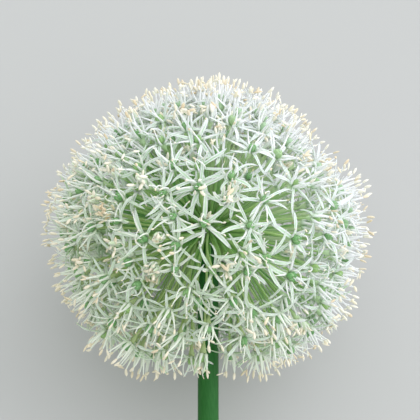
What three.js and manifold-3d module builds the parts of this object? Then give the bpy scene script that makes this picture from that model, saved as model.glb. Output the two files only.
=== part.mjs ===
// A white allium flower head on a short cut stem, lying on a surface. Millimetres, +Z up.
// Many little star flowers, the florets, stand on long green stalks that spread from the stem's top.
// It rests on its lowest florets and on the edge of the stem's cut end, and the stem points along -Y.

import * as THREE from 'three';
import { mergeVertices } from 'three/addons/utils/BufferGeometryUtils.js';
import Module from 'manifold-3d';

const wasm = await Module();
wasm.setup();

// The head: an almost round ball, a little flatter along its axis than across
const HEAD_WIDTH = 150;
const HEAD_HEIGHT = 144;
const FLORETS = 150;
const STEM_CLEARANCE_DEG = 18; // no floret stands nearer to the stem than this, seen from the middle

// The stem, measured along its axis from the middle of the head
const STEM_RADIUS = 4.75;
const STEM_TOP_RADIUS = 5.4;
const CUT_END = 150;
const STEM_SIDES = 16;
const STEM_TAPER = 18;

// The swollen top of the stem that the stalks grow from
const RECEPTACLE_RADIUS = 8.5;
const RECEPTACLE_BASE = 5;
const ROOT_RADIUS = 7;
const LOWEST_ROOT_DEG = 68; // from the stem, so that the lowest stalks clear its top
const SEAM = 0.3; // between pieces that touch

// How it lies: the soft florets under the head give by SAG, and the stem slopes down to its cut end
const SAG = 5;
const CENTRE_HEIGHT = HEAD_WIDTH / 2 - SAG;
const STEM_FLAT = STEM_RADIUS * Math.cos(Math.PI / STEM_SIDES);
const SLOPE = Math.asin(CENTRE_HEIGHT / Math.hypot(CUT_END, STEM_FLAT)) - Math.atan(STEM_FLAT / CUT_END);

// One floret, in its own frame: z points outwards along its stalk, and z = 0 is where the tepals spread
const TEPALS = 6;
const TEPAL_LENGTH = 14.4;
const TEPAL_LENGTH_SPREAD = 0.8;
const TEPAL_DROOP = 0.9;
const TEPAL_DROOP_SPREAD = 1.1;
const NOTCH_RADIUS = 3.9;
const RIM_RADIUS = 1.85;
const HUB_HALF_HEIGHT = 0.9;
const HOLE_RADIUS = 1.5;
const STAMEN_REACH = 12;
const STAMEN_SPREAD = 4.6;
const STAMEN_JITTER = 1.1;

// One stalk with its ovary, three-sided like the three-lobed ovary itself
const STALK_SIDES = 3;
const STALK_RADIUS = 0.8;
const NECK_TOP = 1.1;
const OVARY_RADIUS = 1.8;
const OVARY_MIDDLE = 2.5;
const OVARY_TOP = 4.8;

// The sizes, depths and turns that a floret may take, tried in this order
const SIZES = [1, 1.07, 1.14, 1.21];
const DEPTHS = [0, -1.2, 1.2, -2.4, 2.4, -3.6];
const TURNS = 8;
const FIRM_CROSSING = 0.05; // cubic millimetres shared by two tepals
const GRAZE_COST = 2;
const NEIGHBOURHOOD = 0.55; // radians

const GOLDEN_ANGLE = Math.PI * (3 - Math.sqrt(5));
const OUTWARDS = new THREE.Vector3(0, 0, 1);
const STEMWARDS = new THREE.Vector3(0, 0, -1);

// A small seeded random generator, so that every run grows the same flower
function seeded(seed) {
  let state = seed >>> 0;
  return () => {
    state = (Math.imul(state, 1664525) + 1013904223) >>> 0;
    return state / 2 ** 32;
  };
}

function solidOf(points, faces) {
  const vertProperties = new Float32Array(points.flatMap((p) => [p.x, p.y, p.z]));
  const triVerts = new Uint32Array(faces.flat());
  return new wasm.Manifold(new wasm.Mesh({ numProp: 3, vertProperties, triVerts }));
}

function solidOfGeometry(geometry) {
  const bare = geometry.clone().deleteAttribute('normal').deleteAttribute('uv');
  const merged = mergeVertices(bare, 1e-4);
  const vertProperties = merged.attributes.position.array;
  const triVerts = new Uint32Array(merged.index.array);
  return new wasm.Manifold(new wasm.Mesh({ numProp: 3, vertProperties, triVerts }));
}

function geometryOf(solid) {
  const { vertProperties, triVerts } = solid.getMesh();
  const geometry = new THREE.BufferGeometry();
  geometry.setAttribute('position', new THREE.BufferAttribute(vertProperties, 3));
  geometry.setIndex(new THREE.BufferAttribute(triVerts, 1));
  geometry.computeVertexNormals();
  return geometry;
}

function polar(radius, angle, z) {
  return new THREE.Vector3(radius * Math.cos(angle), radius * Math.sin(angle), z);
}

// The floret's points: tepal tips, notches between tepals, the hub's upper rim, stamen tips, lower rim
const TIP = 0;
const NOTCH = TIP + TEPALS;
const RIM = NOTCH + TEPALS;
const STAMEN = RIM + TEPALS;
const UNDER = STAMEN + TEPALS;

function floretPoints(random) {
  const between = (low, high) => low + (high - low) * random();
  const step = (2 * Math.PI) / TEPALS;
  const tips = [];
  const notches = [];
  const rim = [];
  const stamens = [];
  const under = [];
  for (let k = 0; k < TEPALS; k += 1) {
    const length = TEPAL_LENGTH + between(-TEPAL_LENGTH_SPREAD, TEPAL_LENGTH_SPREAD);
    const droop = TEPAL_DROOP + between(-TEPAL_DROOP_SPREAD, TEPAL_DROOP_SPREAD);
    const spread = STAMEN_SPREAD + between(-STAMEN_JITTER, STAMEN_JITTER);
    tips.push(polar(length, k * step + between(-0.08, 0.08), -droop));
    notches.push(polar(NOTCH_RADIUS, (k + 0.5) * step, 0));
    rim.push(polar(RIM_RADIUS, k * step, HUB_HALF_HEIGHT));
    stamens.push(polar(spread, (k + 0.5) * step + between(-0.2, 0.2), STAMEN_REACH + between(-1, 0.6)));
  }
  for (let j = 0; j < STALK_SIDES; j += 1) {
    under.push(polar(HOLE_RADIUS, (2 * Math.PI * j) / STALK_SIDES, -HUB_HALF_HEIGHT));
  }
  return [...tips, ...notches, ...rim, ...stamens, ...under];
}

// Its faces: six ridged tepals, a needle between each two, and a hole in the middle for the ovary
function floretFaces() {
  const faces = [];
  for (let k = 0; k < TEPALS; k += 1) {
    const tip = TIP + k;
    const rim = RIM + k;
    const nextRim = RIM + ((k + 1) % TEPALS);
    const before = NOTCH + ((k + TEPALS - 1) % TEPALS);
    const after = NOTCH + k;
    const stamen = STAMEN + k;
    faces.push([before, tip, rim], [rim, tip, after]);
    faces.push([rim, after, stamen], [after, nextRim, stamen], [nextRim, rim, stamen]);
  }
  for (let j = 0; j < STALK_SIDES; j += 1) {
    const here = UNDER + j;
    const next = UNDER + ((j + 1) % STALK_SIDES);
    const even = 2 * j;
    const odd = even + 1;
    const before = NOTCH + ((even + TEPALS - 1) % TEPALS);
    const middle = NOTCH + even;
    const after = NOTCH + odd;
    const rims = [RIM + even, RIM + odd, RIM + ((odd + 1) % TEPALS)];
    faces.push([before, here, TIP + even], [here, middle, TIP + even]);
    faces.push([middle, here, TIP + odd], [here, next, TIP + odd], [next, after, TIP + odd]);
    faces.push([rims[0], rims[1], here], [rims[1], rims[2], next], [rims[1], next, here]);
  }
  return faces;
}

const FLORET_FACES = floretFaces();

// A closed three-sided spindle from its rings, with a flat root and a pointed top
function spindle(rings, top) {
  const points = rings.flatMap(({ radius, z }) =>
    Array.from({ length: STALK_SIDES }, (_, j) => polar(radius, (2 * Math.PI * j) / STALK_SIDES, z)));
  const faces = [[2, 1, 0]];
  for (let ring = 1; ring < rings.length; ring += 1) {
    for (let j = 0; j < STALK_SIDES; j += 1) {
      const low = (ring - 1) * STALK_SIDES;
      const high = ring * STALK_SIDES;
      const next = (j + 1) % STALK_SIDES;
      faces.push([low + j, low + next, high + next], [low + j, high + next, high + j]);
    }
  }
  const last = (rings.length - 1) * STALK_SIDES;
  for (let j = 0; j < STALK_SIDES; j += 1) {
    faces.push([last + j, last + ((j + 1) % STALK_SIDES), points.length]);
  }
  return { points: [...points, new THREE.Vector3(0, 0, top)], faces };
}

// Where the florets stand: an even spiral over the ball, left open round the stem
function directions() {
  const lowest = -Math.cos(THREE.MathUtils.degToRad(STEM_CLEARANCE_DEG));
  return Array.from({ length: FLORETS }, (_, i) => {
    const z = 1 - ((i + 0.5) / FLORETS) * (1 - lowest);
    const across = Math.sqrt(1 - z * z);
    const angle = i * GOLDEN_ANGLE;
    return new THREE.Vector3(across * Math.cos(angle), across * Math.sin(angle), z);
  });
}

// From the middle of the head to where a floret's tepals spread, on a slightly flattened ball
function reachOf(direction) {
  const across = Math.hypot(direction.x, direction.y) / (HEAD_WIDTH / 2);
  const along = direction.z / (HEAD_HEIGHT / 2);
  return 1 / Math.hypot(across, along) - STAMEN_REACH;
}

// Height above the surface of a point in the head's own frame, once the flower lies down
const UPWARDS = new THREE.Vector3(0, -Math.cos(SLOPE), Math.sin(SLOPE));
const heightOf = (p) => CENTRE_HEIGHT + p.dot(UPWARDS);

// Where a floret's stalk starts in the receptacle. The lowest stalks leave it sideways and clear the stem
function rootOf(direction) {
  const { radToDeg, degToRad, mapLinear } = THREE.MathUtils;
  const angle = radToDeg(direction.angleTo(STEMWARDS));
  const low = angle < 90 ? mapLinear(angle, STEM_CLEARANCE_DEG, 90, LOWEST_ROOT_DEG, 90) : angle;
  const round = Math.atan2(direction.y, direction.x);
  return polar(Math.sin(degToRad(low)), round, -Math.cos(degToRad(low))).multiplyScalar(ROOT_RADIUS);
}

// A stalk runs from inside the receptacle through its floret's hole and ends in the ovary
function stalkSolid(facing, centre, length) {
  const { points, faces } = spindle(
    [
      { radius: STALK_RADIUS, z: -length },
      { radius: STALK_RADIUS, z: NECK_TOP },
      { radius: OVARY_RADIUS, z: OVARY_MIDDLE },
    ],
    OVARY_TOP,
  );
  return solidOf(points.map((p) => p.applyQuaternion(facing).add(centre)), faces);
}

// Puts a floret at the end of its stalk. Stamens that would dip under the surface bend flat on it
function placed(points, direction, turn, depth) {
  const root = rootOf(direction);
  const centre = direction.clone().multiplyScalar(reachOf(direction) + depth);
  const along = centre.clone().sub(root).normalize();
  const facing = new THREE.Quaternion().setFromUnitVectors(OUTWARDS, along);
  facing.multiply(new THREE.Quaternion().setFromAxisAngle(OUTWARDS, turn));
  const stood = points.map((p) => p.clone().applyQuaternion(facing).add(centre));
  const lifted = stood.map((p) => p.addScaledVector(UPWARDS, Math.max(-heightOf(p), 0)));
  return { solid: solidOf(lifted, FLORET_FACES), stalk: stalkSolid(facing, centre, centre.distanceTo(root)) };
}

// What it costs a floret to stand where it is: it needs one firm crossing with its neighbours' tepals,
// each further one is a blemish, a bare graze is worse, and no stalk may touch another floret
function crowding(floret, neighbours) {
  const touching = neighbours.some(({ solid, stalk }) =>
    floret.solid.minGap(stalk, SEAM) < SEAM || floret.stalk.minGap(solid, SEAM) < SEAM);
  if (touching) return Infinity;
  const crossings = neighbours
    .map(({ solid }) => floret.solid.intersect(solid))
    .filter((shared) => !shared.isEmpty())
    .flatMap((shared) => shared.decompose())
    .map((shared) => shared.volume());
  const firm = crossings.filter((volume) => volume > FIRM_CROSSING).length;
  const grazes = crossings.length - firm;
  if (neighbours.length > 0 && firm === 0) return Infinity;
  return Math.max(firm - 1, 0) + GRAZE_COST * grazes;
}

// Every size, depth and turn in the order they are tried, from a first turn of its own
function fits(start) {
  const list = [];
  for (const size of SIZES) {
    for (const depth of DEPTHS) {
      for (let t = 0; t < TURNS; t += 1) {
        list.push({ size, depth, turn: ((start + t / TURNS) * 2 * Math.PI) / TEPALS });
      }
    }
  }
  return list;
}

// A floret with longer tepals and the same hub
function resized(points, size) {
  return points.map((p, i) => (i < NOTCH ? new THREE.Vector3(p.x * size, p.y * size, p.z) : p));
}

// Each floret takes the first size, depth and turn at which it just hooks into those already there,
// because the tepals of neighbouring florets lock into one white net
function growFlorets() {
  const random = seeded(11);
  const grown = [];
  directions().forEach((direction) => {
    const points = floretPoints(random);
    const start = random();
    const neighbours = grown.filter((other) => other.direction.angleTo(direction) < NEIGHBOURHOOD);
    let best = null;
    for (const { size, depth, turn } of fits(start)) {
      const floret = placed(resized(points, size), direction, turn, depth);
      const cost = crowding(floret, neighbours);
      if (!best || cost < best.cost) best = { ...floret, direction, cost };
      if (best.cost === 0) break;
    }
    grown.push(best);
  });
  return grown;
}

// Stem: a round stalk, swelling a little under the head and cut square at its end
function stemGeometry() {
  const top = RECEPTACLE_BASE + SEAM;
  const profile = [
    new THREE.Vector2(0, -CUT_END),
    new THREE.Vector2(STEM_RADIUS, -CUT_END),
    new THREE.Vector2(STEM_RADIUS, -top - STEM_TAPER),
    new THREE.Vector2((STEM_RADIUS + STEM_TOP_RADIUS) / 2, -top - STEM_TAPER / 3),
    new THREE.Vector2(STEM_TOP_RADIUS, -top),
    new THREE.Vector2(0, -top),
  ];
  return new THREE.LatheGeometry(profile, STEM_SIDES, Math.PI / STEM_SIDES);
}

// Receptacle: a dome with a flat foot on the stem
function receptacleGeometry() {
  const foot = Math.asin(RECEPTACLE_BASE / RECEPTACLE_RADIUS);
  const rings = 6;
  const profile = [new THREE.Vector2(0, -RECEPTACLE_BASE)];
  for (let i = 0; i <= rings; i += 1) {
    const angle = -foot + ((Math.PI / 2 + foot) * i) / rings;
    const across = i === rings ? 0 : RECEPTACLE_RADIUS * Math.cos(angle);
    profile.push(new THREE.Vector2(across, RECEPTACLE_RADIUS * Math.sin(angle)));
  }
  return new THREE.LatheGeometry(profile, STEM_SIDES);
}

// Lathes turn about Y; the head's own axis is Z
function upright(geometry) {
  return geometry.rotateX(Math.PI / 2);
}

function mesh(name, geometry, color, roughness) {
  const material = new THREE.MeshStandardMaterial({ color, roughness, metalness: 0, flatShading: true });
  const made = new THREE.Mesh(geometry, material);
  made.name = name;
  return made;
}

const grown = growFlorets();
const florets = wasm.Manifold.union(grown.map((floret) => floret.solid));
const stalks = wasm.Manifold.union([
  solidOfGeometry(upright(receptacleGeometry())),
  ...grown.map((floret) => floret.stalk),
]);

const head = new THREE.Group();
head.add(mesh('stem', upright(stemGeometry()), 0x25622a, 0.45));
head.add(mesh('stalks', geometryOf(stalks), 0x5d9146, 0.55));
head.add(mesh('florets', geometryOf(florets), 0xeaf1e8, 0.6));
head.rotation.x = SLOPE - Math.PI / 2;

// The origin is on the surface, under the middle of the whole flower's box
const flower = new THREE.Group();
flower.add(head);
const box = new THREE.Box3().setFromObject(flower, true);
head.position.set(-(box.min.x + box.max.x) / 2, -(box.min.y + box.max.y) / 2, -box.min.z);

export default flower;
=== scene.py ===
"""A white allium flower head on a short cut stem, lying on a pale surface."""

import math
import random

import bpy
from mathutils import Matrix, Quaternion, Vector


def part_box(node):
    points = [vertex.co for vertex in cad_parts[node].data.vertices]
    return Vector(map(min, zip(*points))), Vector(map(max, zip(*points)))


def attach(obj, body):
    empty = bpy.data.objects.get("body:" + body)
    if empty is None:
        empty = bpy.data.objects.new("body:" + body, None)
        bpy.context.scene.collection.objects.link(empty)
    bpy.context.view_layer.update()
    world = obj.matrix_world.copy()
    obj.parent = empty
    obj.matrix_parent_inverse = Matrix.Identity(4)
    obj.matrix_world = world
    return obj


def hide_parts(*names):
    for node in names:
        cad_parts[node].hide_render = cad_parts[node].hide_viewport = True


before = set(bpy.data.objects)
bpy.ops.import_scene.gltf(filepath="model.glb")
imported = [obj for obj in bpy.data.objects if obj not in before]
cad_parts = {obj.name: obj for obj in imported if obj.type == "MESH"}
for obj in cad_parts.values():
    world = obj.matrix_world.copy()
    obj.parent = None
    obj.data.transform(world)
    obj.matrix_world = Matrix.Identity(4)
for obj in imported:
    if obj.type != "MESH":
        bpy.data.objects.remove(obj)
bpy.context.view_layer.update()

MM = 0.001

# The head and stem, as the solids have them
HEAD_WIDTH = 150 * MM
HEAD_HEIGHT = 144 * MM
SAG = 5 * MM
CENTRE_HEIGHT = HEAD_WIDTH / 2 - SAG
CUT_END = 150 * MM
STEM_RADIUS = 4.75 * MM
STEM_TOP_RADIUS = 5.4 * MM
STEM_TAPER = 18 * MM
STEM_FLAT = STEM_RADIUS * math.cos(math.pi / 16)
SLOPE = math.asin(CENTRE_HEIGHT / math.hypot(CUT_END, STEM_FLAT)) - math.atan(STEM_FLAT / CUT_END)
RECEPTACLE_RADIUS = 8.5 * MM
RECEPTACLE_BASE = 5 * MM
ROOT_RADIUS = 7 * MM
LOWEST_ROOT = math.radians(68)
STEM_CLEARANCE = math.radians(18)

# The view: the photo's side and the head's width and middle in it, in pixels
PHOTO_SIDE = 420
PHOTO_HEAD_WIDTH = 338
HEAD_PIXEL = (207, 230)
PIXEL = HEAD_WIDTH / PHOTO_HEAD_WIDTH
VIEW_RIGHT = (PHOTO_SIDE / 2 - HEAD_PIXEL[0]) * PIXEL
VIEW_UP = (HEAD_PIXEL[1] - PHOTO_SIDE / 2) * PIXEL
CAMERA_DISTANCE = 0.7
SENSOR = 36.0
VIEW_ROUNDS = 8  # how often a direction and its reach are brought closer to what the camera sees
NEAREST_SEEN = 0.05
FARTHEST_SEEN = 10

# Where the head's outline departs from a ball, and by which share. Each place is a height and how far it
# spreads, in degrees above the head's widest ring.
SHOULDER_CUT = 0.05
SHOULDER_LEAN = 0.03  # how much more the right shoulder slopes than the left one
SHOULDERS = (40, 20)
SIDE_SWELL = 0.025
SIDES = (12, 13)
FLANK_SWELL = 0.09
FLANKS = (-51, 25)
FLANK_FLATTENING = 1.4  # how soon the swell ends towards the surface below
STEM_DIP = 0.06
STEM_PLACE = (-90, 26)
CROWN_CUT = 1.4 * MM

# The florets
OUTER_FLORETS = 318
INNER_FLORETS = 126
CROWN_CROWDING = 1.15
GOLDEN_ANGLE = math.pi * (3 - math.sqrt(5))
OUTER_START = math.radians(274)
INNER_START = math.radians(110)
FLORET_HEIGHT = 13.8 * MM  # from where the tepals spread to the tips of the anthers
STATION_JITTER = 2.2 * MM
STATION_DEPTH = 1.8 * MM
DEEP_REACH = (0.76, 0.9)
LEAN = 10  # the spread of an open floret's lean, in degrees
LOOSE_LEAN = 14  # the same for young florets and those deep in the head
LOW_LEAN = 6  # what is added next to the stem
LOW_START = 112  # degrees from the crown where the florets start to turn along the stem
LOW_SPREAD = 50
DROOP = 1.2  # how much the florets next to the stem turn along it
STATION_SEED = 5

# Their states: the share of florets in each, and how far each one is in it
YOUNG_SHARE = 0.19
INNER_YOUNG_SHARE = 0.3
SPENT_SHARE = 0.8
LEAST_SPENT = 0.2
YOUNG_SIZE = (0.78, 0.95)
OPEN_SIZE = (0.9, 1.02)
YOUNG_OPENNESS = (0.1, 0.6)
OPEN_OPENNESS = (0.82, 1.0)
YOUTH = (0.6, 1.0)
WITHERING = (0.6, 1.0)

# The florets that the photo shows face on: how far to the right of the head's middle and how far towards
# its crown each one stands, in mm
OPEN_FACES = (
    (-30, 41), (-21, 39), (19, 35), (30, 33), (-16, 29), (-31, 28), (-4, 28), (10, 23), (38, 20), (-4, 19),
    (-20, 16), (-39, 14), (25, 13), (-15, 6), (-40, 4), (-2, 3), (18, 2), (-28, -4), (38, -4), (-14, -7),
    (15, -10), (26, -13), (-35, -14), (-15, -17), (2, -18), (17, -18), (36, -20), (-31, -24), (-9, -27),
    (11, -31), (-36, -34), (-18, -36), (20, -36), (31, -38), (-26, -43), (0, -43), (-13, -48), (16, -49),
    (31, -51),
)
YOUNG_FACES = ((-40, 25), (-28, 20), (-21, -3), (-39, -7), (6, -15), (-24, -16))
DEEP_FACES = ((2, -31),)
WITHERED_FACE = (-43, 8)
FACE_SPACING = math.radians(10)
# Where the photo shows the stalks between the florets, in the same way
OPEN_GAPS = ((-32, 8), (-8, -9), (30, 9), (30, -17))
GAP_ANGLE = math.radians(8)
INNER_GAP_ANGLE = math.radians(11)
BARE_SPOT = Vector((0.08, -0.40, -0.91)).normalized()  # where the stem shows between the lowest florets
BARE_ANGLE = math.radians(9)

# The organs of a floret. A root is how far out and up an organ starts from where the tepals spread.
STAMENS = 6
FILAMENT_LENGTH = 10.4 * MM
OVARY_HEIGHT = 3.9 * MM
OVARY_LIFT = 0.2 * MM
STYLE_SINK = 0.4 * MM
TEPAL_ROOT = (1.1 * MM, 0.3 * MM)
STAMEN_ROOT = (1.7 * MM, 0.4 * MM)
STALK_FLARE_START = 0.97
STALK_FLARE = 0.9 * MM
GIVE = 6 * MM  # how high above the surface below an organ starts to give way
ORGAN_SEED = 3
INNER_TEPAL_SEED = 4

# How the width, or what the name says, changes from an organ's root to its tip
TEPAL_WIDTHS = [(0, 0.7), (0.1, 0.85), (0.4, 1.0), (0.75, 0.88), (0.94, 0.6), (1, 0.15)]
TEPAL_THICKNESSES = [(0, 1.0), (0.7, 0.85), (1, 0.25)]
ANTHER_WIDTHS = [(0, 0.2), (0.1, 0.75), (0.3, 0.92), (0.7, 1.0), (0.9, 0.85), (1, 0.25)]
OVARY_WIDTHS = [(0, 0.5), (0.15, 0.82), (0.4, 1.0), (0.62, 0.92), (0.8, 0.62), (1, 0.08)]
OVARY_RISE = [(0, 0.0), (0.5, 0.62), (0.8, 1.0), (0.9, 0.96), (1, 0.76)]
STYLE_WIDTHS = [(0, 1.0), (0.8, 0.7), (0.95, 1.0), (1, 0.6)]
STALK_WIDTHS = [(0, 1.0), (0.1, 0.8), (0.85, 0.72), (0.95, 0.9), (1, 1.0)]
# How many anthers swing away from their filaments, and how far
ANTHER_SWINGS = [(0, 0.0), (0.48, 0.12), (0.7, 0.6), (1, 1.0)]

# The room's light on its bright side and across from it
BRIGHT_SIDE = (0.75, 0.45, 0.5)
ROOM_COOL = (1.80, 1.84, 1.98, 1)
ROOM_WARM = (0.06, 0.11, 0.04, 1)
# Each lamp's place from the head's middle, its width, its watts and its colour
LAMPS = {
    "key": (Vector((1.8, 0.9, 1.4)), 2.8, 20.0, (0.92, 0.96, 1.0)),
    "fill": (Vector((-1.2, -0.9, 0.8)), 1.2, 1.5, (0.80, 1.0, 0.62)),
}
VIEW_GAMMA = 1.26
FLOOR_REACH = 1.5
FLOOR_GREY = (0.41, 0.41, 0.39, 1)

stem_low, stem_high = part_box("stem")
HEAD_CENTRE = Vector((
    (stem_low.x + stem_high.x) / 2,
    stem_low.y + CUT_END * math.cos(SLOPE) + STEM_FLAT * math.sin(SLOPE),
    CENTRE_HEIGHT,
))
HEAD_TURN = Quaternion((1, 0, 0), SLOPE - math.pi / 2)
CROWNWARDS = Vector((0, 0, 1))
SHADED_SIDE = Vector((-0.5, -0.85, 0.1)).normalized()  # painted shade lies this way, painted light across from it


def in_row(point):
    """A point of the upright head's own frame, where the flower lies"""
    return HEAD_CENTRE + HEAD_TURN @ point


# Geometry Nodes: a tree under construction, whose numbers and vectors take plain arithmetic


class Term:
    """One number or vector inside a tree"""

    def __init__(self, tree, socket):
        self.tree = tree
        self.socket = socket

    @property
    def is_vector(self):
        return self.socket.type == "VECTOR"

    def __add__(self, other):
        return self.tree.combine("ADD", self, other)

    def __radd__(self, other):
        return self.tree.combine("ADD", other, self)

    def __sub__(self, other):
        return self.tree.combine("SUBTRACT", self, other)

    def __rsub__(self, other):
        return self.tree.combine("SUBTRACT", other, self)

    def __mul__(self, other):
        return self.tree.combine("MULTIPLY", self, other)

    def __rmul__(self, other):
        return self.tree.combine("MULTIPLY", other, self)

    def __truediv__(self, other):
        return self.tree.combine("DIVIDE", self, other)

    def __neg__(self):
        return self.tree.combine("MULTIPLY", self, -1.0)


class Tree:
    """A Geometry Nodes tree with one geometry going in and out, and named inputs for its sizes"""

    SOCKETS = {float: "NodeSocketFloat", int: "NodeSocketInt", bpy.types.Material: "NodeSocketMaterial"}

    def __init__(self, name, sizes):
        self.group = bpy.data.node_groups.new(name, "GeometryNodeTree")
        interface = self.group.interface
        interface.new_socket("Geometry", in_out="INPUT", socket_type="NodeSocketGeometry")
        interface.new_socket("Geometry", in_out="OUTPUT", socket_type="NodeSocketGeometry")
        self.values = {}
        for label, value in sizes.items():
            socket = interface.new_socket(label, in_out="INPUT", socket_type=self.SOCKETS[type(value)])
            self.values[socket.identifier] = value
        self.inlet = self.group.nodes.new("NodeGroupInput")
        self.outlet = self.group.nodes.new("NodeGroupOutput")

    def size(self, label):
        return Term(self, self.inlet.outputs[label])

    def feed(self, socket, value):
        if isinstance(value, Term):
            self.group.links.new(value.socket, socket)
        else:
            socket.default_value = value

    def add(self, kind, inputs=None, output=0, **settings):
        """A new node, fed by name, and the term that one of its outputs gives"""
        node = self.group.nodes.new(kind)
        for setting, value in settings.items():
            setattr(node, setting, value)
        for label, value in (inputs or {}).items():
            self.feed(next(s for s in node.inputs if s.enabled and s.name == label), value)
        shown = [s for s in node.outputs if s.enabled]
        wanted = shown[output] if isinstance(output, int) else next(s for s in shown if s.name == output)
        return Term(self, wanted)

    def combine(self, how, a, b):
        vectors = [isinstance(x, Term) and x.is_vector for x in (a, b)]
        if how == "MULTIPLY" and vectors[0] != vectors[1]:
            vector, number = (a, b) if vectors[0] else (b, a)
            return self.add("ShaderNodeVectorMath", {"Vector": vector, "Scale": number}, operation="SCALE")
        node = self.group.nodes.new("ShaderNodeVectorMath" if any(vectors) else "ShaderNodeMath")
        node.operation = how
        self.feed(node.inputs[0], a)
        self.feed(node.inputs[1], b)
        return Term(self, node.outputs[0])

    def math(self, how, *values):
        node = self.group.nodes.new("ShaderNodeMath")
        node.operation = how
        for socket, value in zip(node.inputs, values):
            self.feed(socket, value)
        return Term(self, node.outputs[0])

    def sin(self, angle):
        return self.math("SINE", angle)

    def cos(self, angle):
        return self.math("COSINE", angle)

    def least(self, a, b):
        return self.math("MINIMUM", a, b)

    def most(self, a, b):
        return self.math("MAXIMUM", a, b)

    def blend(self, a, b, share):
        return a + (b - a) * share

    def curve(self, value, points):
        """A smooth curve through (x, y) points from x = 0 to x = 1"""
        node = self.group.nodes.new("ShaderNodeFloatCurve")
        line = node.mapping.curves[0]
        for point, place in zip(line.points, (points[0], points[-1])):
            point.location = place
        for place in points[1:-1]:
            line.points.new(*place)
        node.mapping.update()
        self.feed(node.inputs["Value"], value)
        return Term(self, node.outputs[0])

    def vector(self, x, y, z):
        return self.add("ShaderNodeCombineXYZ", {"X": x, "Y": y, "Z": z})

    def parts(self, vector):
        node = self.group.nodes.new("ShaderNodeSeparateXYZ")
        self.feed(node.inputs[0], vector)
        return [Term(self, s) for s in node.outputs]

    def spin(self, vector, angle):
        inputs = {"Vector": vector, "Angle": angle}
        return self.add("ShaderNodeVectorRotate", inputs, rotation_type="Z_AXIS")

    def turn(self, vector, rotation):
        return self.add("FunctionNodeRotateVector", {"Vector": vector, "Rotation": rotation})

    def read(self, name, kind="FLOAT"):
        return self.add("GeometryNodeInputNamedAttribute", {"Name": name}, data_type=kind)

    def store(self, geometry, name, value, kind="FLOAT"):
        inputs = {"Geometry": geometry, "Name": name, "Value": value}
        return self.add("GeometryNodeStoreNamedAttribute", inputs, data_type=kind, domain="POINT")

    def random(self, low, high, owner, salt):
        """A number drawn once for each owner; salt tells one draw from another"""
        inputs = {"Min": low, "Max": high, "ID": owner, "Seed": self.size("Seed") + salt}
        return self.add("FunctionNodeRandomValue", inputs, data_type="FLOAT")

    def place(self, geometry, position):
        return self.add("GeometryNodeSetPosition", {"Geometry": geometry, "Position": position})

    def finish(self, geometry):
        realized = self.add("GeometryNodeRealizeInstances", {"Geometry": geometry})
        smooth = self.add("GeometryNodeSetShadeSmooth", {"Geometry": realized})
        inputs = {"Geometry": smooth, "Material": self.size("Material")}
        dressed = self.add("GeometryNodeSetMaterial", inputs)
        self.group.links.new(dressed.socket, self.outlet.inputs[0])


def tubes(tree, copies, sides, segments):
    """A closed tube at each floret's station, or several of them, ready to be shaped.
    Each keeps along, from 0 to 1, ring, the place round its section, and organ, its own number."""
    stations = Term(tree, tree.inlet.outputs["Geometry"])
    node = tree.group.nodes.new("GeometryNodeDuplicateElements")
    node.domain = "POINT"
    tree.feed(node.inputs["Geometry"], stations)
    tree.feed(node.inputs["Amount"], copies)
    points = Term(tree, node.outputs["Geometry"])
    copy = Term(tree, node.outputs["Duplicate Index"])
    points = tree.store(points, "whorl", copy)
    points = tree.store(points, "organ", tree.add("GeometryNodeInputIndex"), "INT")
    inputs = {"Vertices": sides, "Side Segments": segments, "Radius": 1.0, "Depth": 1.0}
    tube = tree.add("GeometryNodeMeshCylinder", inputs, "Mesh", fill_type="NGON")
    x, y, z = tree.parts(tree.add("GeometryNodeInputPosition"))
    tube = tree.store(tube, "along", z + 0.5)
    tube = tree.store(tube, "ring", tree.vector(x, y, 0.0), "FLOAT_VECTOR")
    instances = tree.add("GeometryNodeInstanceOnPoints", {"Points": points, "Instance": tube})
    return tree.add("GeometryNodeRealizeInstances", {"Geometry": instances})


def arc(tree, along, length, start, end):
    """A point on an arc that leaves at the angle start and arrives at the angle end, both from level:
    how far out, how far up, and the angle there"""
    bend = end - start + 0.001
    angle = start + bend * along
    out = length * (tree.sin(angle) - tree.sin(start)) / bend
    up = length * (tree.cos(start) - tree.cos(angle)) / bend
    return out, up, angle


def laid(tree, line, offset):
    """From a floret's own frame to where the flower lies. The middle line of each organ gives way above
    the surface, and its thickness stays."""
    centre = tree.read("centre", "FLOAT_VECTOR")
    facing = tree.read("facing", "QUATERNION")
    size = tree.read("size")
    x, y, z = tree.parts(centre + tree.turn(line, facing) * size)
    give = tree.size("Give")
    pressed = give * tree.math("EXPONENT", tree.least(z / give - 1.0, 0.0))
    height = tree.most(z, give) + pressed - give
    return tree.vector(x, y, height) + tree.turn(offset, facing) * size


def grown(name, points, tree, *slot_and_nodes):
    """The plain mesh that a tree makes from the florets' stations"""
    seed = bpy.data.objects.new(name + "_seed", points)
    bpy.context.scene.collection.objects.link(seed)
    modifier = seed.modifiers.new("grow", "NODES")
    modifier.node_group = tree.group
    for identifier, value in tree.values.items():
        modifier[identifier] = value
    depsgraph = bpy.context.evaluated_depsgraph_get()
    mesh = bpy.data.meshes.new_from_object(seed.evaluated_get(depsgraph), preserve_all_data_layers=True,
                                           depsgraph=depsgraph)
    bpy.data.objects.remove(seed)
    material = mesh.materials[-1]
    mesh.materials.clear()
    mesh.materials.append(material)
    mesh.polygons.foreach_set("material_index", [0] * len(mesh.polygons))
    return piece_of(name, mesh, *slot_and_nodes)


def piece_of(name, mesh, slot, *nodes):
    """An object that rides on the flower and stands for the nodes"""
    piece = bpy.data.objects.new(name, mesh)
    mesh.name = name
    bpy.context.scene.collection.objects.link(piece)
    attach(piece, "root")
    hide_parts(*nodes)
    return piece


# Where the florets stand


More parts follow.
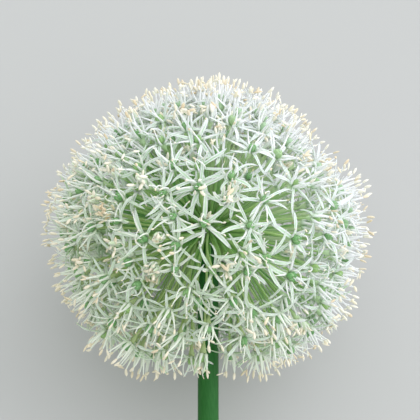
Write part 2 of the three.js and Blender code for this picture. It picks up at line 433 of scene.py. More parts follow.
def root_of(direction):
    """Where a floret's stalk starts in the receptacle, in the upright head"""
    angle = direction.angle(-CROWNWARDS)
    right = math.pi / 2
    if angle < right:
        share = (angle - STEM_CLEARANCE) / (right - STEM_CLEARANCE)
        angle = LOWEST_ROOT + (right - LOWEST_ROOT) * share
    across = Vector((direction.x, direction.y, 0)).normalized()
    return ROOT_RADIUS * (across * math.sin(angle) - CROWNWARDS * math.cos(angle))


def bell(height, middle, spread):
    """1 at the middle height, falling off above and below it"""
    return math.exp(-((height - middle) / spread) ** 2)


def reach_of(direction):
    """From the middle of the head to where a floret's tepals spread, on a slightly flattened ball with
    sloping shoulders, full lower flanks that the surface below keeps flat, and a dip at the stem"""
    across = math.hypot(direction.x, direction.y) / (HEAD_WIDTH / 2)
    along = direction.z / (HEAD_HEIGHT / 2 - CROWN_CUT)
    height = math.degrees(math.asin(direction.z))
    shoulder = (SHOULDER_CUT + SHOULDER_LEAN * direction.x) * bell(height, *SHOULDERS)
    side = SIDE_SWELL * direction.x ** 2 * bell(height, *SIDES)
    dip = STEM_DIP * bell(height, *STEM_PLACE)
    downward = max(0, -(HEAD_TURN @ direction).z)
    flank = FLANK_SWELL * bell(height, *FLANKS) * max(0, 1 - FLANK_FLATTENING * downward)
    return (1 - shoulder - dip + flank + side) / math.hypot(across, along) - FLORET_HEIGHT


def lowness(direction):
    """From 0 on the upper head to 1 next to the stem"""
    return max(0, min(1, (math.degrees(direction.angle(CROWNWARDS)) - LOW_START) / LOW_SPREAD))


def facing_of(direction, draw, loose):
    """How a floret faces: outwards, leaning at random, and drooping along the stem low on the head"""
    droop = lowness(direction)
    axis = (direction - CROWNWARDS * DROOP * droop).normalized()
    lean = Quaternion((1, 0, 0), math.radians(abs(draw.gauss(0, loose + LOW_LEAN * droop))))
    first, second = (Quaternion((0, 0, 1), draw.uniform(0, math.tau)) for _ in range(2))
    return CROWNWARDS.rotation_difference(axis) @ first @ lean @ second


def spiral(count, start, draw):
    """Directions over the whole head but the stem's place, a little closer together towards the crown, and
    each a little off its even spot"""
    lowest = -math.cos(STEM_CLEARANCE)
    for i in range(count):
        height = 1 - ((i + 0.5) / count) ** CROWN_CROWDING * (1 - lowest)
        across = math.sqrt(1 - height * height)
        angle = i * GOLDEN_ANGLE + start
        direction = Vector((across * math.cos(angle), across * math.sin(angle), height))
        shift = Vector([draw.gauss(0, STATION_JITTER / 2) for _ in range(3)])
        direction = (direction * reach_of(direction) + shift).normalized()
        if direction.angle(BARE_SPOT) > BARE_ANGLE:
            yield direction


def facing_camera(right, crownwards):
    """The direction of the floret that the camera sees there, in mm across the head's middle"""
    direction = Vector((0, -1, 0))
    for _ in range(VIEW_ROUNDS):
        reach = reach_of(direction)
        shrink = 1 + direction.y * reach / CAMERA_DISTANCE
        x = VIEW_RIGHT + (right * MM - VIEW_RIGHT) * shrink
        z = VIEW_UP + (crownwards * MM - VIEW_UP) * shrink
        direction = Vector((x, -math.sqrt(reach * reach - x * x - z * z), z)).normalized()
    return direction


def clear_of(direction, places, angle):
    """Whether a direction is more than the angle away from every place"""
    return min(direction.angle(place) for place in places) > angle


def floret_list(draw):
    """Every floret's direction, whether it is young and whether it stands deep in the head. The last one
    has withered."""
    faces = [(facing_camera(*place), False, False) for place in OPEN_FACES]
    faces += [(facing_camera(*place), True, False) for place in YOUNG_FACES]
    face_places = [face[0] for face in faces]
    gaps = [facing_camera(*place) for place in OPEN_GAPS]
    outer = []
    for direction in spiral(OUTER_FLORETS, OUTER_START, draw):
        if clear_of(direction, face_places, FACE_SPACING) and clear_of(direction, gaps, GAP_ANGLE):
            outer.append((direction, draw.random() < YOUNG_SHARE, False))
    inner = []
    for direction in spiral(INNER_FLORETS, INNER_START, draw):
        if clear_of(direction, gaps, INNER_GAP_ANGLE):
            inner.append((direction, draw.random() < INNER_YOUNG_SHARE, True))
    inner += [(facing_camera(*place), False, True) for place in DEEP_FACES]
    return faces + outer + inner + [(facing_camera(*WITHERED_FACE), True, False)]


def floret_stations():
    """A mesh of loose points, one for each floret, with its root, its facing and its state"""
    draw = random.Random(STATION_SEED)
    rows = {"centre": [], "root": [], "facing": [], "size": [], "openness": [], "youth": [], "spent": []}
    florets = floret_list(draw)
    for direction, young, deep in florets:
        depth = STATION_DEPTH * (1 + lowness(direction))
        reach = reach_of(direction) + draw.uniform(-depth, 0)
        if deep:
            reach *= draw.uniform(*DEEP_REACH)
        root = root_of(direction)
        centre = direction * reach
        facing = facing_of((centre - root).normalized(), draw, LOOSE_LEAN if young or deep else LEAN)
        rows["centre"].append(in_row(centre))
        rows["root"].append(in_row(root))
        rows["facing"].append(HEAD_TURN @ facing)
        rows["size"].append(draw.uniform(*(YOUNG_SIZE if young else OPEN_SIZE)))
        rows["openness"].append(draw.uniform(*(YOUNG_OPENNESS if young else OPEN_OPENNESS)))
        rows["youth"].append(draw.uniform(*YOUTH) if young else 0.0)
        spent = not young and draw.random() < SPENT_SHARE * max(LEAST_SPENT, -direction.y)
        rows["spent"].append(draw.uniform(*WITHERING) if spent else 0.0)
    rows["withered"] = [0.0] * (len(florets) - 1) + [1.0]
    points = bpy.data.meshes.new("floret_stations")
    points.from_pydata([tuple(c) for c in rows["centre"]], [], [])
    kinds = {"centre": "FLOAT_VECTOR", "root": "FLOAT_VECTOR", "facing": "QUATERNION"}
    for name, values in rows.items():
        kind = kinds.get(name, "FLOAT")
        flat = values if kind == "FLOAT" else [number for value in values for number in value]
        attribute = points.attributes.new(name, kind, "POINT")
        attribute.data.foreach_set("vector" if kind == "FLOAT_VECTOR" else "value", flat)
    return points


# Organs of the floret


def tube_terms(tree):
    """How far along its tube a point lies, its organ's number, and its place across the section and on its
    upper or under side"""
    across, side, _ = tree.parts(tree.read("ring", "FLOAT_VECTOR"))
    return tree.read("along"), tree.read("organ", "INT"), across, side


def draws_for(tree, organ):
    """Draws a number for each organ, between low and high; salt tells one draw from another"""
    return lambda low, high, salt: tree.random(low, high, organ, salt)


def step_off(tree, angle, sideways, raised):
    """A step off an organ's middle line, sideways and at right angles to it, where it rises at the angle"""
    return tree.vector(-tree.sin(angle) * raised, sideways, tree.cos(angle) * raised)


def set_round(tree, mesh, line, offset, round_angle):
    """The organ's points, turned to their place round the floret and laid where the flower lies"""
    return tree.place(mesh, laid(tree, tree.spin(line, round_angle), tree.spin(offset, round_angle)))


def tepal_tree(material, name, first, seed):
    """Three tepals in each floret; first is where the whorl starts, in sixths of a turn"""
    tree = Tree(name, {
        "Tepals": 3, "Start": first, "Length": 13.3 * MM, "Width": 1.6 * MM, "Thickness": 0.34 * MM,
        "Give": GIVE, "Seed": seed, "Material": material,
    })
    mesh = tubes(tree, tree.size("Tepals"), sides=8, segments=8)
    along, organ, across, side = tube_terms(tree)
    draw = draws_for(tree, organ)
    youth = tree.read("youth")
    length = tree.size("Length") * draw(0.76, 1.14, 1) * (1.0 - 0.3 * youth)
    closed = 1.0 - tree.read("openness")
    start = draw(-0.1, 0.5, 2) + closed * 1.2
    end = tree.blend(draw(-1.2, 0.7, 3), 0.9 + closed * 1.7, youth)
    out, up, angle = arc(tree, along, length, start, end)
    hook = draw(-1.0, 1.0, 11)
    hook = hook * hook * hook * 0.3 * along * along
    bow = (draw(-0.24, 0.24, 4) + hook) * (1.0 - youth * 0.8) * along * along * length
    line = tree.vector(out + TEPAL_ROOT[0], bow, up + TEPAL_ROOT[1])
    slim = draw(0.62, 1.2, 5) * (1.0 + youth * 0.5)
    breadth = tree.size("Width") * slim * 0.5 * tree.curve(along, TEPAL_WIDTHS)
    thickness = tree.size("Thickness") * 0.5 * tree.curve(along, TEPAL_THICKNESSES)
    wide = across * breadth
    fold = across * across * tree.size("Width") * draw(0.1, 0.42, 6)
    ripple = across * tree.sin(along * 10.0 + draw(0.0, 6.0, 7)) * 0.14 * MM
    thick = side * thickness + fold + ripple
    twist = draw(-1.0, 1.0, 8)
    twist = twist * twist * twist * 2.2 * along * along
    swung = wide * tree.cos(twist) - thick * tree.sin(twist)
    raised = wide * tree.sin(twist) + thick * tree.cos(twist)
    round_angle = tree.size("Start") + tree.read("whorl") * 2.0 + draw(-0.22, 0.22, 9)
    round_angle = round_angle * (math.tau / 6)
    mesh = set_round(tree, mesh, line, step_off(tree, angle, swung, raised), round_angle)
    mesh = tree.store(mesh, "across", across)
    mesh = tree.store(mesh, "outer", 0.5 - side * 0.5)
    mesh = tree.store(mesh, "shade", draw(0.0, 1.0, 10))
    tree.finish(mesh)
    return tree


def stamen_line(tree, along, organ):
    """The middle line of a filament in its floret's frame, its angle there, and the angle round the floret.
    In young florets the stamens still curl in over the ovary, and spent ones curl as they wither."""
    draw = draws_for(tree, organ)
    youth = tree.read("youth")
    spent = tree.read("spent")
    length = tree.size("Filament length") * draw(0.88, 1.03, 21) * (1.0 - youth * 0.42 - spent * 0.05)
    start = tree.blend(draw(0.95, 1.35, 22), draw(1.0, 1.3, 27), youth) - spent * 0.5
    end = tree.blend(draw(1.0, 1.8, 23), draw(1.5, 2.1, 28), youth) + draw(-2.2, 2.2, 29) * spent
    out, up, angle = arc(tree, along, length, start, end)
    bow = draw(-0.25, 0.25, 24) * along * along * length
    line = tree.vector(out + STAMEN_ROOT[0], bow, up + STAMEN_ROOT[1])
    round_angle = (tree.read("whorl") + draw(-0.2, 0.2, 25)) * (math.tau / STAMENS)
    return line, angle, round_angle


def filament_tree(material):
    """Six filaments in each floret, broad at the base and thin at the tip"""
    tree = Tree("filaments", {
        "Stamens": STAMENS, "Filament length": FILAMENT_LENGTH, "Base radius": 1.0 * MM,
        "Tip radius": 0.26 * MM, "Give": GIVE, "Seed": ORGAN_SEED, "Material": material,
    })
    mesh = tubes(tree, tree.size("Stamens"), sides=5, segments=6)
    along, organ, across, side = tube_terms(tree)
    line, angle, round_angle = stamen_line(tree, along, organ)
    tapering = tree.math("POWER", along, 0.75)
    radius = tree.blend(tree.size("Base radius"), tree.size("Tip radius"), tapering)
    radius = radius * (1.0 - 0.3 * tree.read("spent"))
    offset = step_off(tree, angle, across * radius, side * radius * 0.75)
    mesh = set_round(tree, mesh, line, offset, round_angle)
    mesh = tree.store(mesh, "shade", tree.random(0.0, 1.0, organ, 26))
    tree.finish(mesh)
    return tree


def anther_tree(material):
    """An anther on the tip of each filament, in line with it or swung across, with a groove on each side"""
    tree = Tree("anthers", {
        "Stamens": STAMENS, "Filament length": FILAMENT_LENGTH, "Length": 3.9 * MM, "Width": 1.25 * MM,
        "Give": GIVE, "Seed": ORGAN_SEED, "Material": material,
    })
    mesh = tubes(tree, tree.size("Stamens"), sides=8, segments=4)
    along, organ, across, side = tube_terms(tree)
    draw = draws_for(tree, organ)
    tip, angle, round_angle = stamen_line(tree, 1.0, organ)
    youth = tree.read("youth")
    ripe = 1.0 - tree.read("spent") * 0.7
    length = tree.size("Length") * draw(0.8, 1.03, 31) * ripe * (1.0 + youth * 0.25)
    swing = tree.curve(draw(0.0, 1.0, 32), ANTHER_SWINGS)
    lean = (swing + youth * 0.5) * tree.math("SIGN", draw(-1.0, 1.0, 33)) * 1.4
    curl = draw(-0.5, 0.5, 34)
    hold = tree.blend(0.12, 0.45, swing)
    here = along - hold
    reach = here * length
    line = tip + tree.vector(tree.cos(angle + lean) * reach, 0.0, tree.sin(angle + lean) * reach)
    bulge = curl * here * here * 0.5 * length
    line = line + step_off(tree, angle + lean, 0.0, bulge)
    radius = tree.size("Width") * 0.5 * draw(0.8, 1.15, 35) * ripe * (1.0 + youth * 0.3)
    radius = radius * tree.curve(along, ANTHER_WIDTHS)
    groove = 1.0 - 0.28 * tree.math("POWER", tree.math("ABSOLUTE", side), 4.0)
    offset = step_off(tree, angle + lean + curl * here, across * radius, side * radius * 0.85 * groove)
    mesh = set_round(tree, mesh, line, offset, round_angle)
    mesh = tree.store(mesh, "shade", draw(0.0, 1.0, 36))
    tree.finish(mesh)
    return tree


def ovary_tree(material):
    """A three-lobed ovary with a dimple on top in each floret"""
    tree = Tree("ovaries", {
        "Height": OVARY_HEIGHT, "Radius": 2.05 * MM, "Give": GIVE, "Seed": ORGAN_SEED, "Material": material,
    })
    mesh = tubes(tree, 1, sides=12, segments=8)
    along, organ, across, side = tube_terms(tree)
    draw = draws_for(tree, organ)
    height = tree.size("Height") * draw(0.9, 1.1, 41)
    lobe = tree.math("ABSOLUTE", tree.cos(tree.math("ARCTAN2", side, across) * 1.5))
    section = 0.62 + 0.38 * tree.math("POWER", lobe, 0.6)
    radius = tree.size("Radius") * draw(0.82, 1.1, 42) * section * tree.curve(along, OVARY_WIDTHS)
    line = tree.vector(0.0, 0.0, tree.curve(along, OVARY_RISE) * height + OVARY_LIFT)
    mesh = tree.place(mesh, laid(tree, line, tree.vector(across * radius, side * radius, 0.0)))
    mesh = tree.store(mesh, "lobe", lobe)
    mesh = tree.store(mesh, "shade", draw(0.0, 1.0, 43))
    tree.finish(mesh)
    return tree


def style_tree(material):
    """A thin thread on each ovary, with a small knob at its tip"""
    tree = Tree("styles", {
        "Height": 3.6 * MM, "Radius": 0.26 * MM, "Ovary height": OVARY_HEIGHT, "Give": GIVE,
        "Seed": ORGAN_SEED, "Material": material,
    })
    mesh = tubes(tree, 1, sides=5, segments=4)
    along, organ, across, side = tube_terms(tree)
    draw = draws_for(tree, organ)
    height = tree.size("Height") * draw(0.5, 1.1, 51)
    lean = draw(-0.35, 0.35, 52) * along * along * height
    radius = tree.size("Radius") * tree.curve(along, STYLE_WIDTHS)
    line = tree.vector(lean, 0.0, tree.size("Ovary height") - STYLE_SINK + along * height)
    mesh = tree.place(mesh, laid(tree, line, tree.vector(across * radius, side * radius, 0.0)))
    tree.finish(mesh)
    return tree


def stalk_tree(material):
    """A stalk from the receptacle to each floret, which flares out under the tepals"""
    tree = Tree("stalks", {
        "Radius": 0.74 * MM, "Bend": 1.8 * MM, "Seed": ORGAN_SEED, "Material": material,
    })
    mesh = tubes(tree, 1, sides=6, segments=12)
    along, organ, across, side = tube_terms(tree)
    draw = draws_for(tree, organ)
    root = tree.read("root", "FLOAT_VECTOR")
    centre = tree.read("centre", "FLOAT_VECTOR")
    facing = tree.read("facing", "QUATERNION")
    hump = tree.sin(along * math.pi) * tree.size("Bend")
    sideways = tree.vector(draw(-1.0, 1.0, 61), draw(-1.0, 1.0, 62), 0.0)
    radius = tree.size("Radius") * draw(0.88, 1.12, 63) * tree.curve(along, STALK_WIDTHS)
    flaring = tree.most(along - STALK_FLARE_START, 0.0) / (1 - STALK_FLARE_START)
    radius = radius + flaring * STALK_FLARE
    offset = tree.turn(sideways * hump + tree.vector(across * radius, side * radius, 0.0), facing)
    mesh = tree.place(mesh, tree.blend(root, centre, along) + offset)
    mesh = tree.store(mesh, "shade", draw(0.0, 1.0, 64))
    tree.finish(mesh)
    return tree


# Stem and receptacle


def lathe(name, profile, sides, ripple):
    """A closed turned body in the upright head's frame, from (radius, height) rings, set where it lies.
    It keeps along, a length from its lower end, and turn, from 0 to 1 round its axis."""
    points = [in_row(Vector((0, 0, profile[0][1])))]
    along = [0.0]
    turn = [0.0]
    for radius, height in profile:
        for j in range(sides):
            angle = math.tau * j / sides
            across = radius * (1 + ripple(angle, height))
            points.append(in_row(Vector((across * math.cos(angle), across * math.sin(angle), height))))
            along.append(height - profile[0][1])
            turn.append(j / sides)
    points.append(in_row(Vector((0, 0, profile[-1][1]))))
    along.append(profile[-1][1] - profile[0][1])
    turn.append(0.0)
    last = len(points) - 1
    faces = []
    for j in range(sides):
        following = (j + 1) % sides
        faces.append((0, 1 + following, 1 + j))
        for ring in range(len(profile) - 1):
            low = 1 + ring * sides
            high = low + sides
            faces.append((low + j, low + following, high + following, high + j))
        faces.append((last, last - sides + j, last - sides + following))
    mesh = bpy.data.meshes.new(name)
    mesh.from_pydata([tuple(p) for p in points], [], faces)
    mesh.attributes.new("along", "FLOAT", "POINT").data.foreach_set("value", along)
    mesh.attributes.new("turn", "FLOAT", "POINT").data.foreach_set("value", turn)
    mesh.polygons.foreach_set("use_smooth", [True] * len(mesh.polygons))
    return mesh


def stem_skin(material):
    """The stem's surface, widening towards the receptacle, with a slightly rounded cut edge"""
    top = -RECEPTACLE_BASE
    rings = 60
    edge = 0.25 * MM
    inset = 0.05 * MM
    profile = [(STEM_RADIUS - 2 * edge, -CUT_END), (STEM_RADIUS - edge * 0.4, -CUT_END + edge * 0.4)]
    for i in range(rings + 1):
        height = -CUT_END + edge + (top + CUT_END - edge) * i / rings
        swell = max(0.0, 1 + (height - top) / STEM_TAPER)
        profile.append((STEM_RADIUS + (STEM_TOP_RADIUS - STEM_RADIUS) * swell * swell - inset, height))

    def ripple(angle, height):
        """Faint ribs, and a section that isn't quite round"""
        return 0.006 * math.sin(11 * angle) + 0.008 * math.sin(2 * angle + height / (30 * MM))

    mesh = lathe("stem_skin", profile, sides=44, ripple=ripple)
    mesh.materials.append(material)
    return piece_of("stem_skin", mesh, "stem_green", "stem")


def receptacle(material):
    """The swollen top of the stem, a ball cut off where the stem meets it"""
    foot = math.asin(RECEPTACLE_BASE / RECEPTACLE_RADIUS)
    rings = 16
    profile = []
    for i in range(rings):
        angle = -foot + (math.pi / 2 + foot) * i / rings
        profile.append((RECEPTACLE_RADIUS * math.cos(angle), RECEPTACLE_RADIUS * math.sin(angle)))

    def ripple(angle, height):
        """Low bumps on a slant"""
        return 0.03 * math.sin(9 * angle + 700 * height)

    mesh = lathe("receptacle", profile, sides=36, ripple=ripple)
    mesh.materials.append(material)
    return piece_of("receptacle", mesh, "stalk_green", "stalks")


# Finishes


class Finish:
    """A material under construction round one Principled shader"""

    def __init__(self, name, roughness, subsurface=0.0, depth=1 * MM, specular=0.4):
        self.material = bpy.data.materials.new(name)
        self.material.use_nodes = True
        self.nodes = self.material.node_tree.nodes
        self.links = self.material.node_tree.links
        self.shader = self.nodes["Principled BSDF"]
        self.shader.inputs["Roughness"].default_value = roughness
        self.shader.inputs["Specular IOR Level"].default_value = specular
        self.shader.inputs["Subsurface Weight"].default_value = subsurface
        self.shader.inputs["Subsurface Scale"].default_value = depth
        self.shader.inputs["Subsurface Radius"].default_value = (1.0, 1.0, 0.9)

    def feed(self, socket, value):
        if isinstance(value, bpy.types.NodeSocket):
            self.links.new(value, socket)
        elif isinstance(value, tuple) and len(value) == 3:
            socket.default_value = (*value, 1.0) if socket.type == "RGBA" else value
        else:
            socket.default_value = value

    def node(self, kind, inputs, output=0, **settings):
        node = self.nodes.new(kind)
        for setting, value in settings.items():
            setattr(node, setting, value)
        for label, value in inputs.items():
            found = [s for s in node.inputs if s.enabled and s.name == label]
            self.feed(found[0] if isinstance(label, str) else node.inputs[label], value)
        shown = [s for s in node.outputs if s.enabled]
        return shown[output] if isinstance(output, int) else next(s for s in shown if s.name == output)

    def attribute(self, name):
        return self.node("ShaderNodeAttribute", {}, "Fac", attribute_name=name)

    def math(self, how, *values):
        node = self.nodes.new("ShaderNodeMath")
        node.operation = how
        for socket, value in zip(node.inputs, values):
            self.feed(socket, value)
        return node.outputs[0]

    def times(self, a, b):
        return self.math("MULTIPLY", a, b)

    def ramp(self, value, low, high, out_low=0.0, out_high=1.0):
        """A smooth step from out_low to out_high as value goes from low to high"""
        inputs = {"Value": value, "From Min": low, "From Max": high, "To Min": out_low, "To Max": out_high}
        return self.node("ShaderNodeMapRange", inputs, interpolation_type="SMOOTHSTEP")

    def mix(self, a, b, share):
        return self.node("ShaderNodeMix", {"Factor": share, "A": a, "B": b}, data_type="RGBA")

    def noise(self, scale, detail=2.0, vector=None):
        coordinates = vector or self.node("ShaderNodeTexCoord", {}, "Object")
        return self.node("ShaderNodeTexNoise", {"Vector": coordinates, "Scale": scale, "Detail": detail})

    def bump(self, height, strength, distance):
        inputs = {"Height": height, "Strength": strength, "Distance": distance}
        self.links.new(self.node("ShaderNodeBump", inputs), self.shader.inputs["Normal"])

    def colour(self, socket):
        self.links.new(socket, self.shader.inputs["Base Color"])
        return self.material


def shadeward_of(finish):
    """How far a spot lies towards the lower left, where the finishes paint shade, in metres from the head's
    middle
    """
    place = finish.node("ShaderNodeTexCoord", {}, "Object")
    inputs = {0: place, 1: tuple(SHADED_SIDE)}
    towards = finish.node("ShaderNodeVectorMath", inputs, "Value", operation="DOT_PRODUCT")
    return finish.math("SUBTRACT", towards, HEAD_CENTRE.dot(SHADED_SIDE))


def petal_white():
    """White tissue with a green midvein, greener outside and at the base, cream while it is young"""
    clean, dull, tinged = (0.90, 0.94, 0.94), (0.85, 0.925, 0.885), (0.75, 0.87, 0.76)
    vein, underside, base = (0.38, 0.60, 0.33), (0.54, 0.74, 0.47), (0.36, 0.58, 0.27)
    shaded_white, shaded_underside, lit_white = (0.71, 0.83, 0.61), (0.36, 0.52, 0.24), (0.84, 0.89, 0.87)
    bud_cream, withered_tan = (0.95, 0.90, 0.76), (0.72, 0.46, 0.18)
    finish = Finish("petal_tissue", 0.42, subsurface=0.8, depth=0.42 * MM, specular=0.4)
    along = finish.attribute("along")
    across = finish.math("ABSOLUTE", finish.attribute("across"))
    outer = finish.attribute("outer")
    shade = finish.attribute("shade")
    white = finish.mix(clean, dull, finish.ramp(shade, 0.0, 0.5))
    white = finish.mix(white, tinged, finish.ramp(shade, 0.55, 0.95, 0.0, 0.85))
    veined = finish.times(finish.ramp(across, 0.0, 0.8, 1.0, 0.0), finish.ramp(along, 0.3, 1.0, 0.95, 0.4))
    white = finish.mix(white, vein, veined)
    # Greener outer faces: partly the tepals' own green backs, partly painted shade for florets seen from
    # behind deep in the head
    under = finish.times(finish.ramp(across, 0.3, 1.0, 0.95, 0.55), finish.ramp(outer, 0.45, 0.7))
    white = finish.mix(white, underside, under)
    white = finish.mix(white, base, finish.ramp(along, 0.0, 0.2, 0.75, 0.0))
    cupped = finish.times(finish.attribute("youth"), finish.ramp(along, 0.2, 0.9, 0.1, 0.75))
    white = finish.mix(white, bud_cream, cupped)
    # Painted shade: duller, yellower tissue and darker backs towards the lower left; painted light: paler
    # tissue towards the upper right
    shadeward = shadeward_of(finish)
    painted_shade = finish.ramp(shadeward, -5 * MM, 50 * MM)
    white = finish.mix(white, shaded_white, finish.times(painted_shade, 0.5))
    white = finish.mix(white, shaded_underside, finish.times(painted_shade, finish.times(outer, 0.6)))
    white = finish.mix(white, lit_white, finish.ramp(shadeward, 0.0, -36 * MM, 0.0, 0.85))
    withered = finish.times(finish.attribute("withered"), finish.ramp(along, 0.1, 0.7, 0.9, 0.5))
    white = finish.mix(white, withered_tan, withered)
    finish.bump(finish.math("SINE", finish.times(across, 16.0)), 0.5, 0.07 * MM)
    return finish.colour(white)


def thread_white(name):
    """The white of filaments and styles, green at the base, with creamier painted shade towards the lower
    left
    """
    base, white, dull, painted_shade = (0.48, 0.72, 0.40), (0.88, 0.89, 0.895), (0.86, 0.88, 0.84), (0.74, 0.81, 0.60)
    finish = Finish(name, 0.5, subsurface=0.5, depth=0.6 * MM, specular=0.35)
    colour = finish.mix(base, white, finish.ramp(finish.attribute("along"), 0.0, 0.35))
    colour = finish.mix(colour, dull, finish.times(finish.attribute("shade"), 0.6))
    # Painted shade: darker, creamier threads towards the lower left
    colour = finish.mix(colour, painted_shade, finish.ramp(shadeward_of(finish), -5 * MM, 50 * MM, 0.0, 0.7))
    finish.bump(finish.noise(1500.0), 0.15, 0.05 * MM)
    return finish.colour(colour)


def anther_cream():
    """Cream with grains of pollen, tan where it has dried"""
    light, deep, dried = (0.93, 0.88, 0.72), (0.87, 0.77, 0.53), (0.62, 0.44, 0.22)
    patch, painted_shade, withered_tan = (0.72, 0.54, 0.30), (0.74, 0.62, 0.38), (0.62, 0.42, 0.19)
    pollen = (0.95, 0.91, 0.76)
    finish = Finish("anther_cream", 0.75, subsurface=0.1, depth=0.5 * MM, specular=0.2)
    shade = finish.attribute("shade")
    cream = finish.mix(light, deep, finish.ramp(shade, 0.35, 0.9))
    cream = finish.mix(cream, dried, finish.ramp(shade, 0.86, 0.96, 0.0, 0.7))
    cream = finish.mix(cream, patch, finish.ramp(finish.noise(60.0), 0.58, 0.66, 0.0, 0.7))
    # Painted shade: darker tan towards the lower left
    cream = finish.mix(cream, painted_shade, finish.ramp(shadeward_of(finish), 5 * MM, 55 * MM, 0.0, 0.55))
    cream = finish.mix(cream, withered_tan, finish.times(finish.attribute("withered"), 0.7))
    grain = finish.noise(4000.0, 3.0)
    cream = finish.mix(cream, pollen, finish.ramp(grain, 0.4, 0.7, 0.0, 0.4))
    finish.bump(grain, 0.5, 0.08 * MM)
    return finish.colour(cream)


def ovary_green():
    """Grainy green with pale seams between the lobes, paler towards the upper right as painted light"""
    deep, light, yellowish = (0.08, 0.26, 0.06), (0.17, 0.38, 0.13), (0.23, 0.39, 0.09)
    seam, top, painted_light, grains = (0.34, 0.56, 0.26), (0.19, 0.34, 0.10), (0.46, 0.65, 0.42), (0.38, 0.56, 0.26)
    finish = Finish("ovary_green", 0.5, subsurface=0.05, depth=0.8 * MM, specular=0.25)
    shade = finish.attribute("shade")
    green = finish.mix(deep, light, shade)
    green = finish.mix(green, yellowish, finish.ramp(shade, 0.55, 0.9, 0.0, 0.75))
    green = finish.mix(green, seam, finish.ramp(finish.attribute("lobe"), 0.45, 0.0, 0.0, 0.7))
    green = finish.mix(green, top, finish.ramp(finish.attribute("along"), 0.88, 1.0, 0.0, 0.7))
    # Painted light: paler green towards the upper right
    green = finish.mix(green, painted_light, finish.ramp(shadeward_of(finish), -5 * MM, -45 * MM, 0.0, 0.75))
    grain = finish.noise(1800.0, 3.0)
    green = finish.mix(green, grains, finish.ramp(grain, 0.5, 0.75, 0.0, 0.4))
    finish.bump(grain, 0.4, 0.12 * MM)
    return finish.colour(green)


def stalk_green():
    """Green that varies by stalk, olive painted shade to the lower left, pale painted light to the upper
    right
    """
    deep, light, neck = (0.09, 0.33, 0.05), (0.42, 0.66, 0.20), (0.44, 0.66, 0.32)
    painted_shade, painted_light = (0.27, 0.34, 0.08), (0.66, 0.83, 0.46)
    finish = Finish("stalk_tissue", 0.45, subsurface=0.15, depth=1 * MM, specular=0.4)
    green = finish.mix(deep, light, finish.attribute("shade"))
    green = finish.mix(green, neck, finish.ramp(finish.attribute("along"), 0.84, 0.98))
    # Painted shade: olive towards the lower left; painted light: paler towards the upper right
    shadeward = shadeward_of(finish)
    green = finish.mix(green, painted_shade, finish.ramp(shadeward, 5 * MM, 50 * MM, 0.0, 0.7))
    green = finish.mix(green, painted_light, finish.ramp(shadeward, 2 * MM, -36 * MM, 0.0, 0.9))
    finish.bump(finish.noise(1200.0), 0.2, 0.05 * MM)
    return finish.colour(green)


def receptacle_green():
    finish = Finish("receptacle_green", 0.5, subsurface=0.2, depth=1.5 * MM)
    green = finish.mix((0.12, 0.30, 0.07), (0.24, 0.42, 0.14), finish.noise(500.0))
    finish.bump(finish.noise(900.0), 0.4, 0.3 * MM)
    return finish.colour(green)


def stem_green():
    """Deep green with fine streaks along the stem and a faint bloom, pale where it is cut"""
    deep, light = (0.005, 0.070, 0.006), (0.012, 0.096, 0.012)
    bloom, flesh = (0.04, 0.15, 0.05), (0.42, 0.55, 0.28)
    finish = Finish("stem_tissue", 0.5, subsurface=0.05, depth=1.5 * MM, specular=0.12)
    along = finish.attribute("along")
    angle = finish.times(finish.attribute("turn"), math.tau)
    drawn_out = finish.node("ShaderNodeCombineXYZ", {
        "X": finish.math("COSINE", angle),
        "Y": finish.math("SINE", angle),
        "Z": finish.times(along, 25.0),
    })
    streaks = finish.noise(9.0, 4.0, drawn_out)
    green = finish.mix(deep, light, finish.ramp(streaks, 0.3, 0.7))
    green = finish.mix(green, bloom, finish.ramp(finish.noise(60.0, 3.0), 0.45, 0.8, 0.0, 0.3))
    green = finish.mix(green, flesh, finish.ramp(along, 0.0, 0.1 * MM, 1.0, 0.0))
    finish.bump(streaks, 0.25, 0.1 * MM)
    return finish.colour(green)


# Stage


def plain_floor():
    """A pale surface that the flower lies on"""
    corners = [(x * FLOOR_REACH, y * FLOOR_REACH, 0) for x, y in ((-1, -1), (1, -1), (1, 1), (-1, 1))]
    mesh = bpy.data.meshes.new("floor")
    mesh.from_pydata(corners, [], [(0, 1, 2, 3)])
    floor = bpy.data.objects.new("floor", mesh)
    bpy.context.scene.collection.objects.link(floor)
    finish = Finish("pale_surface", 0.85, specular=0.2)
    finish.shader.inputs["Base Color"].default_value = FLOOR_GREY
    mesh.materials.append(finish.material)


def area_light(name, away, size, watts, colour):
    """A round lamp that far away from the head's middle, which it faces"""
    data = bpy.data.lights.new(name, "AREA")
    data.shape = "DISK"
    data.size = size
    data.energy = watts
    data.color = colour
    light = bpy.data.objects.new(name, data)
    light.location = HEAD_CENTRE + away
    light.rotation_mode = "QUATERNION"
    light.rotation_quaternion = (-away).to_track_quat("-Z", "Y")
    bpy.context.scene.collection.objects.link(light)


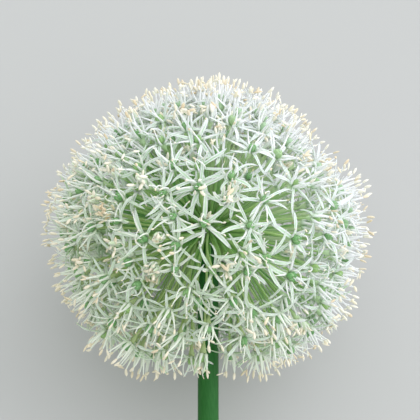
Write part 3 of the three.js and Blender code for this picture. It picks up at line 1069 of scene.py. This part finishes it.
def soft_light():
    """A room that is bright and cool towards the upper right of the picture and warm and dimmer across from
    it, a large key lamp on the bright side and a weak warm one across from it"""
    world = bpy.data.worlds.new("soft_room")
    world.use_nodes = True
    nodes = world.node_tree.nodes
    links = world.node_tree.links
    slope = nodes.new("ShaderNodeVectorMath")
    slope.operation = "DOT_PRODUCT"
    slope.inputs[1].default_value = BRIGHT_SIDE
    links.new(nodes.new("ShaderNodeTexCoord").outputs["Generated"], slope.inputs[0])
    share = nodes.new("ShaderNodeMapRange")
    share.inputs["From Min"].default_value = -1.0
    links.new(slope.outputs["Value"], share.inputs["Value"])
    tint = nodes.new("ShaderNodeMix")
    tint.data_type = "RGBA"
    tint.inputs["A"].default_value = ROOM_WARM
    tint.inputs["B"].default_value = ROOM_COOL
    links.new(share.outputs["Result"], tint.inputs["Factor"])
    links.new(tint.outputs["Result"], nodes["Background"].inputs["Color"])
    bpy.context.scene.world = world
    for name, settings in LAMPS.items():
        area_light(name, *settings)
    view = bpy.context.scene.view_settings
    view.view_transform = "Standard"
    view.gamma = VIEW_GAMMA


def photo_camera():
    """It looks at right angles to the stem from above, from the photo's distance"""
    upwards = HEAD_TURN @ CROWNWARDS
    outwards = Vector((1, 0, 0)).cross(upwards)
    target = Vector((VIEW_RIGHT, HEAD_CENTRE.y, HEAD_CENTRE.z)) + upwards * VIEW_UP
    data = bpy.data.cameras.new("camera")
    data.sensor_width = SENSOR
    data.lens = SENSOR * CAMERA_DISTANCE / (PHOTO_SIDE * PIXEL)
    camera = bpy.data.objects.new("camera", data)
    camera.location = target + outwards * CAMERA_DISTANCE
    camera.rotation_mode = "QUATERNION"
    camera.rotation_quaternion = (-outwards).to_track_quat("-Z", "Y")
    data.clip_start = NEAREST_SEEN
    data.clip_end = FARTHEST_SEEN
    bpy.context.scene.collection.objects.link(camera)
    bpy.context.scene.camera = camera


photo_camera()
soft_light()
plain_floor()
stations = floret_stations()
petals = petal_white()
for name, first, seed in (("outer_tepals", 0.0, ORGAN_SEED), ("inner_tepals", 1.0, INNER_TEPAL_SEED)):
    grown(name, stations, tepal_tree(petals, name, first, seed), "petal_white", "florets")
grown("filaments", stations, filament_tree(thread_white("filament_white")), "petal_white", "florets")
grown("anthers", stations, anther_tree(anther_cream()), "petal_white", "florets")
grown("ovaries", stations, ovary_tree(ovary_green()), "stalk_green", "stalks")
grown("styles", stations, style_tree(thread_white("style_white")), "stalk_green", "stalks")
grown("stalk_bundle", stations, stalk_tree(stalk_green()), "stalk_green", "stalks")
receptacle(receptacle_green())
stem_skin(stem_green())
